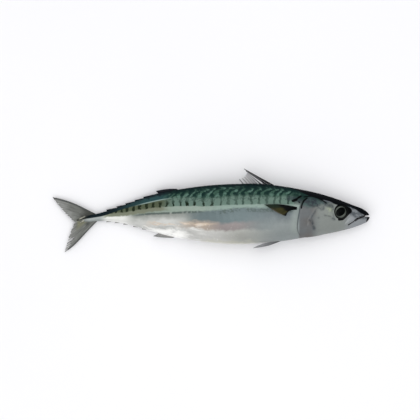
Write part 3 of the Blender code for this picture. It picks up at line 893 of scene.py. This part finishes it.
def cut_mouth(target):
    cutters = bpy.data.collections.new("mouth_cutters")
    lining = blotched_material("mouth_lining", MOUTH_COLOURS, 500.0, (0.8, 0.4, 0.2, 0.2, 0.0002))
    target.data.materials.append(lining)
    for side in (1, -1):
        mesh = mouth_cutter(side)
        mesh.materials.append(lining)
        cutters.objects.link(bpy.data.objects.new("mouth_cutter", mesh))
    bpy.context.scene.collection.children.link(cutters)
    cut = target.modifiers.new("Mouth", "BOOLEAN")
    cut.operation = "DIFFERENCE"
    cut.operand_type = "COLLECTION"
    cut.collection = cutters
    cut.solver = "MANIFOLD"
    cut.material_mode = "TRANSFER"
    graph = bpy.context.evaluated_depsgraph_get()
    opened = bpy.data.meshes.new_from_object(target.evaluated_get(graph))
    target.modifiers.clear()
    target.data = opened
    for used in list(cutters.objects):
        bpy.data.objects.remove(used)
    bpy.data.collections.remove(cutters)


cut_mouth(skin)
skin.data.set_sharp_from_angle(angle=math.radians(CREASE_ANGLE))


# Each eye is a flattened ball in its socket: a pale ring of iris round a big black pupil, all under
# a clear wet film. The iris has fine rays and a darker rim.
PUPIL_RADII = (4.4, 5.8)
IRIS_RADII = (6.6, 7.5)
EYE_BALL_RADII = (7.5, 7.9)
EYE_BALL_DEPTH = 3.6
EYE_BULGE = 0.35
PUPIL = paint(4, 6, 6)
IRIS_DARK = paint(32, 36, 34)
IRIS_PALE = paint(86, 91, 86)
IRIS_BLOTCH = paint(42, 48, 42)
IRIS_RIM = paint(112, 119, 112)


def eye_frame(side):
    """Where the eye sits and how it is turned: it faces straight out of the cheek."""
    reach = reach_at(EYE_STATION, EYE_HEIGHT)
    to_front = (reach - reach_at(EYE_STATION - 3, EYE_HEIGHT)) / 3.0
    to_back = (reach - reach_at(EYE_STATION, EYE_HEIGHT + 3)) / 3.0
    facing = Vector((to_front, to_back, side))
    centre = place(EYE_STATION, EYE_HEIGHT, side * reach)
    return Matrix.Translation(centre) @ facing.to_track_quat("Z", "Y").to_matrix().to_4x4()


def eye_mesh(side):
    """A ball whose UV map holds the place on its face: (along, up) in centimetres from the pupil."""
    bm = bmesh.new()
    bmesh.ops.create_uvsphere(bm, u_segments=64, v_segments=40, radius=1.0)
    face_map = bm.loops.layers.uv.new("face_map")
    across, tall = EYE_BALL_RADII
    for face in bm.faces:
        for loop in face.loops:
            loop[face_map].uv = (loop.vert.co.x * across / 10.0, loop.vert.co.y * tall / 10.0)
    size = Matrix.Diagonal(Vector((across, tall, EYE_BALL_DEPTH, 1.0 / MM)) * MM)
    drop = Matrix.Translation((0, 0, (EYE_BULGE - EYE_BALL_DEPTH) * MM))
    bm.transform(eye_frame(side) @ drop @ size)
    bmesh.ops.recalc_face_normals(bm, faces=bm.faces)
    return closed_mesh("eye", bm)


def eye_material():
    material, tree, shader = new_material("eye")
    along, up = map_place(tree, "face_map")
    jitter = (noise(tree, 300.0) - 0.5) * 0.05

    def ring_share(radii):
        x = along / (radii[0] / 10.0)
        y = up / (radii[1] / 10.0)
        return calc("SQRT", x * x + y * y) + jitter

    angle = calc("ARCTAN2", up, along)
    rays = calc("SINE", angle * 46.0)
    sides = calc("COSINE", angle * 2.0)
    sheen = 0.5 + sides * 0.4 + rays * 0.12
    pupil_share = ring_share(PUPIL_RADII)
    rim = over(pupil_share, 1.06, 1.24)
    iris = layered(
        mix(sheen, IRIS_DARK, IRIS_PALE),
        (step(noise(tree, 260.0), 0.45, 0.7) * 0.5, IRIS_BLOTCH),
        (rim * sheen * 0.7, IRIS_RIM),
    )
    colour = mix(step(pupil_share, 0.96, 1.04), PUPIL, iris)
    colour = mix(step(ring_share(IRIS_RADII), 0.95, 1.04), colour, INK_AND_SHADE)
    colour.feed(shader.inputs["Base Color"])
    shader.inputs["Specular IOR Level"].default_value = 0.0
    shader.inputs["Coat Weight"].default_value = 0.05
    shader.inputs["Coat Roughness"].default_value = 0.08
    finish_wet(tree, shader, 0.9, 0.28, 0.1, 0.06, 0.0001)
    return material


eye_skin = eye_material()
for side, name in ((1, "eye_right"), (-1, "eye_left")):
    add_piece(name, eye_mesh(side), eye_skin)


# The tail fin is two stiff lobes of fine rays with thin skin between them, dark along the leading
# edges. The lower lobe is torn and frayed at its margin. The rays spring from the end of the backbone.
TAIL_UPPER_TIP = (349.35, 21.6)
TAIL_FORK = (324.6, -6.2)
TAIL_LOWER_TIP = (335.8, -TAIL_LOWER_DEPTH)
TAIL_ROOT_UPPER = (300.0, 2.4)
TAIL_ROOT_MIDDLE = (317.0, -3.6)
TAIL_ROOT_LOWER = (299.5, -4.4)
TAIL_BOW = (2.3, 2.4)
TAIL_BOW_SKEW = (1.25, 1.9)
TAIL_DROOP = 1.9
TAIL_BULGE = (1.05, 0.9)
TAIL_RAYS = 46
TAIL_TEARS = (
    (0.835, 0.72, 0.034), (0.883, 0.86, 0.014), (0.928, 0.82, 0.014), (0.957, 0.88, 0.012),
    (0.978, 0.93, 0.010), (0.790, 0.90, 0.010), (0.700, 0.95, 0.008), (0.600, 0.955, 0.006),
    (0.415, 0.95, 0.008), (0.330, 0.93, 0.009), (0.215, 0.95, 0.007), (0.120, 0.955, 0.006),
)
TEAR_REACH = 0.018
FIN_THICKNESS = 0.9
TAIL_DARK = paint(110, 112, 108)
TAIL_PALE = paint(140, 141, 139)
TAIL_STREAK_DARK = paint(66, 68, 66)
TAIL_STREAK_PALE = paint(162, 164, 162)
TAIL_ROOT_DARK = paint(44, 46, 42)
TAIL_SMUDGE = paint(48, 52, 50)
TAIL_OLIVE = paint(126, 126, 98)
TAIL_BORDER = paint(58, 60, 60)
# Pale frayed skin at the tears, also painted light standing for the bright floor seen through them.
TAIL_FRAYED_AND_GAP_LIGHT = paint(196, 197, 194)


def blend_points(start, end, share):
    return tuple(blend(a, b, share) for a, b in zip(start, end))


def tail_middle(u, v):
    """Rays fan out from the tail's root to a margin from the upper tip, by the fork, to the lower tip."""
    upper = u < 0.5
    from_fork = abs(2.0 * opened(u, v) - 1.0)
    ragged = 0.35 * math.sin(61.0 * u) + 0.25 * math.sin(143.0 * u + 1.0)
    start = blend_points(TAIL_ROOT_MIDDLE, TAIL_ROOT_UPPER if upper else TAIL_ROOT_LOWER, from_fork)
    end = blend_points(TAIL_FORK, TAIL_UPPER_TIP if upper else TAIL_LOWER_TIP, from_fork)
    station, height = blend_points(start, end, v)
    swell = math.sin(math.pi * from_fork) * v * v
    station += swell * (0.74 * TAIL_BULGE[0] if upper else 0.95 * TAIL_BULGE[1])
    height += swell * (-0.67 * TAIL_BULGE[0] if upper else 0.33 * TAIL_BULGE[1])
    station += ragged * (1.0 - from_fork ** 6) * ease(0.8, 1.0, v)
    lobe = 0 if upper else 1
    bow = TAIL_BOW[lobe] * from_fork ** 2 * math.sin(math.pi * v ** TAIL_BOW_SKEW[lobe])
    droop = 0.0 if upper else TAIL_DROOP * from_fork * v * v
    return place(station, height + (bow if upper else -bow), -droop)


def tail_torn(u, v):
    """Whether the place lies in the middle of a tear, where the fin is gone."""
    return any(
        abs(u - middle) < max(0.0028, 0.25 * wide) and v > start
        for middle, start, wide in TAIL_TEARS
    )


def tear_share(middle, start, u, v):
    """How far the fin has given way beside a tear: 0 far from it and at its inner end, 1 at the margin."""
    return float(ease(start, 0.6 * start + 0.4, v)) * math.exp(-((u - middle) / TEAR_REACH) ** 2)


def opened(u, v):
    """The place u across the rays, moved aside where a tear has opened."""
    for middle, start, wide in TAIL_TEARS:
        u += math.copysign(0.5 * wide, u - middle) * tear_share(middle, start, u, v)
    return min(max(u, 0.0), 1.0)


# Where the skin beside the tears is painted pale: frayed skin, and painted light for the floor seen
# through the tears.
def frayed_and_gap_light(u, v):
    return max(tear_share(middle, start - 0.05, u, v) for middle, start, _ in TAIL_TEARS)


def ray_thickness(rays, root, margin, relief):
    """Thickness of a fin: more at the root and on each of its rays, less on the skin between them."""
    def thickness(u, v):
        crest = math.cos(2.0 * math.pi * rays * u)
        split = math.cos(4.0 * math.pi * rays * u)
        share = float(ease(0.45, 0.7, v))
        return blend(root, margin, v) * FIN_THICKNESS + relief * blend(crest, split, share) / 2.0
    return thickness


def fin_places(tree):
    """Where on the fin: u across its rays, v from root to margin, and streaks that run along the rays."""
    u, v = map_place(tree, "fin_map")
    along = value(tree, "CombineXYZ", {0: u * 34.0, 1: v * 2.2})
    return u, v, noise(tree, 1.0, 4.0, at=along, rough=0.65)


def finish_fin(tree, shader, colour):
    colour.feed(shader.inputs["Base Color"])
    shader.inputs["Specular IOR Level"].default_value = 0.05
    shader.inputs["Coat Weight"].default_value = 0.06
    shader.inputs["Coat Roughness"].default_value = 0.25
    finish_wet(tree, shader, 0.7, 0.45, 0.15, 0.15, 0.0001)


def fin_material(name, root, middle, margin, edge, clear=0.0):
    """Skin over rays: colours from root to margin, dark and light streaks, and a dark border."""
    material, tree, shader = new_material(name)
    u, v, streak = fin_places(tree)
    along = jittered(v, noise(tree, 130.0, 3.0), 0.4)
    border = calc("MINIMUM", u, 1.0 - u)
    if clear:
        (1.0 - step(streak, 0.42, 0.6) * clear).feed(shader.inputs["Alpha"])
    colour = layered(
        mix(step(along, 0.05, 0.5), root, middle),
        (step(along, 0.55, 1.0), margin),
        (over(streak, 0.35, 0.55) * 0.6, edge),
        (over(border, 0.0, 0.09), edge),
    )
    finish_fin(tree, shader, colour)
    return material


def tail_material():
    """Grey rays with light and dark streaks, dark at the root and the leading edges, olive by the fork."""
    material, tree, shader = new_material("tail_fin")
    u, v, streak = fin_places(tree)
    blotch = noise(tree, 110.0, 3.0)
    upper_root = over(u, 0.34, 0.5) * over(jittered(v, streak, 0.3), 0.12, 0.5) * 0.8
    smudge = band(u, 0.74, 0.86, 0.05) * band(v, 0.1, 0.24, 0.08) * 0.7
    olive = band(u, 0.47, 0.7, 0.07) * over(v, 0.45, 0.85) * 0.6
    border = calc("MINIMUM", u, 1.0 - u)
    colour = layered(
        mix(step(jittered(v, blotch, 0.5), 0.5, 1.0), TAIL_DARK, TAIL_PALE),
        (over(streak, 0.34, 0.56) * 0.55, TAIL_STREAK_DARK),
        (step(streak, 0.56, 0.72) * 0.55, TAIL_STREAK_PALE),
        (upper_root, TAIL_ROOT_DARK),
        (smudge, TAIL_SMUDGE),
        (olive, TAIL_OLIVE),
        (over(border, 0.01, 0.06) * 0.85, TAIL_BORDER),
        # Pale frayed skin by the tears, and painted light standing for the bright floor seen through them.
        (step(attribute(tree, "marked"), 0.8, 0.95) * 0.7, TAIL_FRAYED_AND_GAP_LIGHT),
    )
    finish_fin(tree, shader, colour)
    return material


tail_rays = ray_thickness(TAIL_RAYS, 1.9, 0.9, 0.3)
tail_mesh = plate_mesh(
    "tail_fin", 4 * TAIL_RAYS, 40, tail_middle, tail_rays, gone=tail_torn, marked=frayed_and_gap_light
)
add_piece("tail_fin", tail_mesh, tail_material())


# Two short fleshy keels stand on each side of the tail's root and close in towards the fork. They
# are pale and wet, and stiffen the root where the rays begin.
KEEL_WIDTHS = (0.75, 1.1)
KEELS = ((316.8, -1.2, 26.0, 4.2), (316.6, -5.1, 31.0, 3.2))
KEEL_SPREAD = 1.3
KEEL_COLOURS = (paint(122, 123, 112), paint(170, 169, 156))


def keel_mesh(station, height, tilt, half_length, side):
    bm = bmesh.new()
    bmesh.ops.create_uvsphere(bm, u_segments=24, v_segments=16, radius=1.0)
    turn = Matrix.Rotation(math.radians(tilt), 4, "Z")
    size = Matrix.Diagonal(Vector((half_length, *KEEL_WIDTHS, 1.0 / MM)) * MM)
    bm.transform(Matrix.Translation(place(station, height, side * KEEL_SPREAD)) @ turn @ size)
    bmesh.ops.recalc_face_normals(bm, faces=bm.faces)
    return closed_mesh("keel", bm)


keel_skin = blotched_material("keel", KEEL_COLOURS, 260.0, (0.8, 0.35, 0.2, 0.2, 0.0001), specular=0.5)
for number, keel in enumerate(KEELS):
    for side, name in ((1, "right"), (-1, "left")):
        add_piece(f"keel_{name}_{number}", keel_mesh(*keel, side), keel_skin)


# The first back fin is raised: thin bony spines that lean back, with dark clear skin left only
# between the front ones. Each spine is rooted in the ridge of the back.
SPINE_FEET = (107.0, 113.6, 119.8, 124.0, 127.2, 130.6, 134.5, 139.2)
SPINE_TIPS = (
    (138.5, 52.6), (136.3, 50.2), (134.8, 48.0), (135.4, 46.8),
    (136.4, 45.6), (138.0, 43.9), (140.1, 42.2), (143.4, 41.0),
)
SPINE_RADII = (0.85, 0.66, 0.56, 0.5, 0.48, 0.48, 0.46, 0.44)
SPINE_TIP_RADIUS = 0.32
SPINE_ROOT = -0.12
SPINE_COLOURS = (paint(8, 9, 13), paint(26, 28, 34))
DORSAL_SKIN_THICKNESS = 0.3
DORSAL_SKIN_COLOURS = (paint(22, 24, 30), paint(40, 40, 46), paint(60, 58, 64), paint(14, 16, 20))


def spine_point(number, rise):
    foot = SPINE_FEET[number]
    tip = SPINE_TIPS[number]
    return place(*blend_points((foot, float(back_height(foot))), tip, rise), 0.0)


def spine_mesh(number):
    foot, tip = spine_point(number, SPINE_ROOT), spine_point(number, 1.0)
    bm = bmesh.new()
    bmesh.ops.create_cone(
        bm, cap_ends=True, segments=12, radius1=SPINE_RADII[number] * MM, radius2=SPINE_TIP_RADIUS * MM,
        depth=(tip - foot).length,
    )
    turn = (tip - foot).to_track_quat("Z", "Y").to_matrix().to_4x4()
    bm.transform(Matrix.Translation((foot + tip) / 2.0) @ turn)
    return closed_mesh("spine", bm)


def dorsal_skin_point(u, v):
    """The skin is whole between the first two spines, and falls to a low web behind the third."""
    along = u * (len(SPINE_FEET) - 1)
    number = min(int(along), len(SPINE_FEET) - 2)
    top = blend(0.97, 0.05, float(ease(0.07, 0.22, u)))
    rise = blend(-0.1, top, v)
    return spine_point(number, rise).lerp(spine_point(number + 1, rise), along - number)


spine_skin = blotched_material(
    "spine", SPINE_COLOURS, 300.0, (0.8, 0.4, 0.1, 0.1, 0.0001), stretch=(0.3, 1.0, 1.0), edges=(0.4, 0.7)
)
for number in range(len(SPINE_FEET)):
    add_piece(f"spine_{number}", spine_mesh(number), spine_skin)
dorsal_mesh = plate_mesh("dorsal_skin", 48, 16, dorsal_skin_point, lambda u, v: DORSAL_SKIN_THICKNESS)
add_piece("dorsal_skin", dorsal_mesh, fin_material("dorsal_skin", *DORSAL_SKIN_COLOURS, clear=0.7))


# The second back fin and the anal fin are folded back against the body, and a row of small finlets
# follows each of them to the tail. Each is a flap of a few rays rooted in the skin.
UPPER_FINLETS = (237.0, 249.5, 259.0, 269.3, 279.0, 290.3)
LOWER_FINLETS = (241.0, 251.0, 260.8, 271.5, 281.0, 290.2)
UPPER_FINLET_HEIGHT = 1.7
LOWER_FINLET_HEIGHT = 1.2
FINLET_ROOT = 1.2
FINLET_OVERLAP = 1.4
FINLET_POINT = 1.6
FINLET_FRONT_RISE = 0.15
DARK_FIN = (paint(10, 16, 21), paint(17, 20, 28), paint(30, 32, 40), paint(9, 11, 15))
PALE_FIN = (paint(166, 166, 163), paint(142, 142, 140), paint(122, 124, 122), paint(92, 94, 94))


def folded_fin(name, rays, feet, tips, material, bulge=0.0):
    def middle(u, v):
        station, height = blend_points(blend_points(*feet, u), blend_points(*tips, u), v)
        return place(station, height + bulge * math.sin(math.pi * u) * v, 0.0)

    mesh = plate_mesh(name, 6 * rays, 12, middle, ray_thickness(rays, 1.3, 0.6, 0.3))
    return add_piece(name, mesh, material)


dark_fin = fin_material("second_dorsal", *DARK_FIN)
pale_fin = fin_material("anal_fin", *PALE_FIN)
second_feet, second_tips = ((206, 28.6), (230, 23.2)), ((213, 30.8), (235.4, 28.4))
anal_feet, anal_tips = ((210, -21.6), (231, -17.5)), ((217, -23.3), (238.4, -21.4))
folded_fin("second_dorsal", 8, second_feet, second_tips, dark_fin, bulge=0.8)
folded_fin("anal_fin", 8, anal_feet, anal_tips, pale_fin, bulge=-0.6)
for name, line, tip_stations, length, rise, material in (
    ("finlet_back", back_height, UPPER_FINLETS, 12.0, UPPER_FINLET_HEIGHT, dark_fin),
    ("finlet_belly", belly_height, LOWER_FINLETS, 6.0, -LOWER_FINLET_HEIGHT, pale_fin),
):
    inside = -math.copysign(FINLET_ROOT, rise)
    for number, (before, tip) in enumerate(zip(tip_stations, tip_stations[1:])):
        first = max(before - FINLET_OVERLAP, tip - length)
        last_foot = tip - FINLET_POINT
        feet = (first, line(first) + inside), (last_foot, line(last_foot) + inside)
        front = first + 0.6
        tips = (front, line(front) + FINLET_FRONT_RISE * rise), (tip, line(tip) + rise)
        folded_fin(f"{name}_{number}", 3, feet, tips, material)


# The pectoral fins are small leaves behind the gill covers. The right one stands a little off the
# flank, black at its root and olive in the middle. The left one is pressed flat under the fish.
PECTORAL_RAYS = 18
PECTORAL_ROOT = ((79.6, 10.4), (80.4, 7.6))
PECTORAL_TIPS = ((116.5, 13.4), (92.6, 0.6))
PECTORAL_MARGIN = 4.0
PECTORAL_BOW = 1.6
PECTORAL_LIFT = 2.4
PECTORAL_NOTCH = (2.6, 2.2)
PRESSED_FIN_THICKNESS = 1.22
PECTORAL_DARK = paint(30, 34, 18)
PECTORAL_OLIVE = paint(70, 64, 30)
PECTORAL_UPPER = paint(22, 34, 24)
PECTORAL_BLACK = paint(1, 3, 3)
PECTORAL_LOWER = paint(6, 9, 10)
PECTORAL_RIM = paint(98, 92, 82)


def pectoral_outline(u, v):
    start = blend_points(*PECTORAL_ROOT, u)
    station, height = blend_points(*PECTORAL_TIPS, u ** 0.85)
    margin = PECTORAL_MARGIN * math.sin(math.pi * u)
    end = (station - 0.15 * margin, height - 0.35 * margin)
    station, height = blend_points(start, end, v)
    belly = math.sin(math.pi * v)
    notch = belly * u ** 4
    height += PECTORAL_BOW * belly * (1.0 - u)
    return station + PECTORAL_NOTCH[0] * notch, height + PECTORAL_NOTCH[1] * notch


def pectoral_right_point(u, v):
    station, height = pectoral_outline(u, v)
    return place(station, height, reach_at(station, height) + blend(-0.8, PECTORAL_LIFT, v ** 0.8))


def pectoral_left_point(u, v):
    station, height = pectoral_outline(u, v)
    return Vector(world_points(station, height, PRESSED_FIN_THICKNESS / 2.0 + 0.01))


def pectoral_material():
    """Black at the root and along the lower border, olive-brown in the middle, with a thin pale rim."""
    material, tree, shader = new_material("pectoral_fin")
    u, v, streak = fin_places(tree)
    rim = step(v, 0.93, 0.98) * step(u, 0.16, 0.3) * over(u, 0.74, 0.84) * 0.6
    colour = layered(
        mix(step(streak, 0.35, 0.65) * 0.7, PECTORAL_DARK, PECTORAL_OLIVE),
        (over(u, 0.1, 0.4), PECTORAL_UPPER),
        (over(jittered(v, streak, 0.3), 0.52, 0.7), PECTORAL_BLACK),
        (step(jittered(u, streak, 0.1), 0.8, 0.9), PECTORAL_LOWER),
        (rim, PECTORAL_RIM),
    )
    finish_fin(tree, shader, colour)
    return material


pectoral_skin = pectoral_material()
pectoral_rays = ray_thickness(PECTORAL_RAYS, 1.5, 0.6, 0.25)
right_mesh = plate_mesh("pectoral_right", 6 * PECTORAL_RAYS, 24, pectoral_right_point, pectoral_rays)
left_mesh = plate_mesh("pectoral_left", 48, 16, pectoral_left_point, lambda u, v: PRESSED_FIN_THICKNESS)
add_piece("pectoral_right", right_mesh, pectoral_skin)
add_piece("pectoral_left", left_mesh, pectoral_skin)


# The pelvic fins are a pair of narrow grey fans folded along the belly, with dark roots. Their
# rays are soft, with thin wet skin between them.
PELVIC_ROOT = ((94.5, -25.0), (97.5, -26.4))
PELVIC_TIPS = ((118.0, -29.6), (128.4, -34.3))
PELVIC_BOW = 1.7
PELVIC_SPREAD = (3.4, 5.2)
PELVIC_SKIN = (paint(14, 16, 18), paint(112, 114, 116), paint(138, 140, 142), paint(78, 80, 82))


def pelvic_mesh(side):
    def middle(u, v):
        start, end = blend_points(*PELVIC_ROOT, u), blend_points(*PELVIC_TIPS, u)
        station, height = blend_points(start, end, v)
        height -= PELVIC_BOW * math.sin(math.pi * v) * u
        return place(station, height, side * blend(*PELVIC_SPREAD, v))

    return plate_mesh("pelvic", 36, 20, middle, ray_thickness(6, 1.4, 0.7, 0.25))


pelvic_skin = fin_material("pelvic_fin", *PELVIC_SKIN)
for side, name in ((1, "pelvic_right"), (-1, "pelvic_left")):
    add_piece(name, pelvic_mesh(side), pelvic_skin)


# A plain pale floor, soft studio light from three boxes and a white sky, and the camera straight
# above, far off with a long lens.
PIXEL = 1.102 * MM
FRAME_PIXELS = 420
FISH_CENTRE_PIXEL = (210.9, 209.9)
CAMERA_HEIGHT = 4.0
OUTLINE_LEVEL = 0.008
WORLD_STRENGTH = 0.58
FLOOR_GREY = paint(238, 238, 241)
FLOOR_WHITE = paint(242, 242, 244)


def floor_material():
    material, tree, shader = new_material("floor")
    mix(noise(tree, 3.0), FLOOR_GREY, FLOOR_WHITE).feed(shader.inputs["Base Color"])
    shader.inputs["Roughness"].default_value = 0.9
    return material


def add_floor():
    bm = bmesh.new()
    bmesh.ops.create_grid(bm, x_segments=1, y_segments=1, size=4.0)
    floor = bpy.data.objects.new("floor", closed_mesh("floor", bm))
    floor.data.materials.append(floor_material())
    bpy.context.scene.collection.objects.link(floor)


def add_softbox(name, place_at, size, power):
    data = bpy.data.lights.new(name, "AREA")
    data.shape = "RECTANGLE"
    data.size, data.size_y = size
    data.energy = power
    lamp = bpy.data.objects.new(name, data)
    lamp.location = place_at
    lamp.rotation_euler = (-Vector(place_at)).to_track_quat("-Z", "Y").to_euler()
    bpy.context.scene.collection.objects.link(lamp)


def add_world():
    world = bpy.data.worlds.new("studio")
    bpy.context.scene.world = world
    world.use_nodes = True
    light = world.node_tree.nodes["Background"].inputs
    light["Color"].default_value = (1.0, 1.0, 1.0, 1.0)
    light["Strength"].default_value = WORLD_STRENGTH


def add_camera():
    data = bpy.data.cameras.new("camera")
    data.sensor_width = 36.0
    wide = FRAME_PIXELS * PIXEL
    data.lens = data.sensor_width * (CAMERA_HEIGHT - OUTLINE_LEVEL) / wide
    data.clip_end = 20.0
    camera = bpy.data.objects.new("camera", data)
    middle = FRAME_PIXELS / 2.0
    offset_x = (middle - FISH_CENTRE_PIXEL[0]) * PIXEL
    offset_y = (FISH_CENTRE_PIXEL[1] - middle) * PIXEL
    camera.location = (offset_x, offset_y, CAMERA_HEIGHT)
    bpy.context.scene.collection.objects.link(camera)
    bpy.context.scene.camera = camera


add_floor()
add_world()
add_softbox("softbox_belly", (-0.3, -1.1, 1.9), (2.4, 1.4), 13.0)
add_softbox("softbox_over", (0.1, 0.05, 2.2), (1.6, 1.2), 15.0)
add_softbox("softbox_back", (0.4, 1.1, 1.9), (1.8, 1.2), 7.0)
add_camera()
bpy.context.scene.view_settings.view_transform = "Standard"
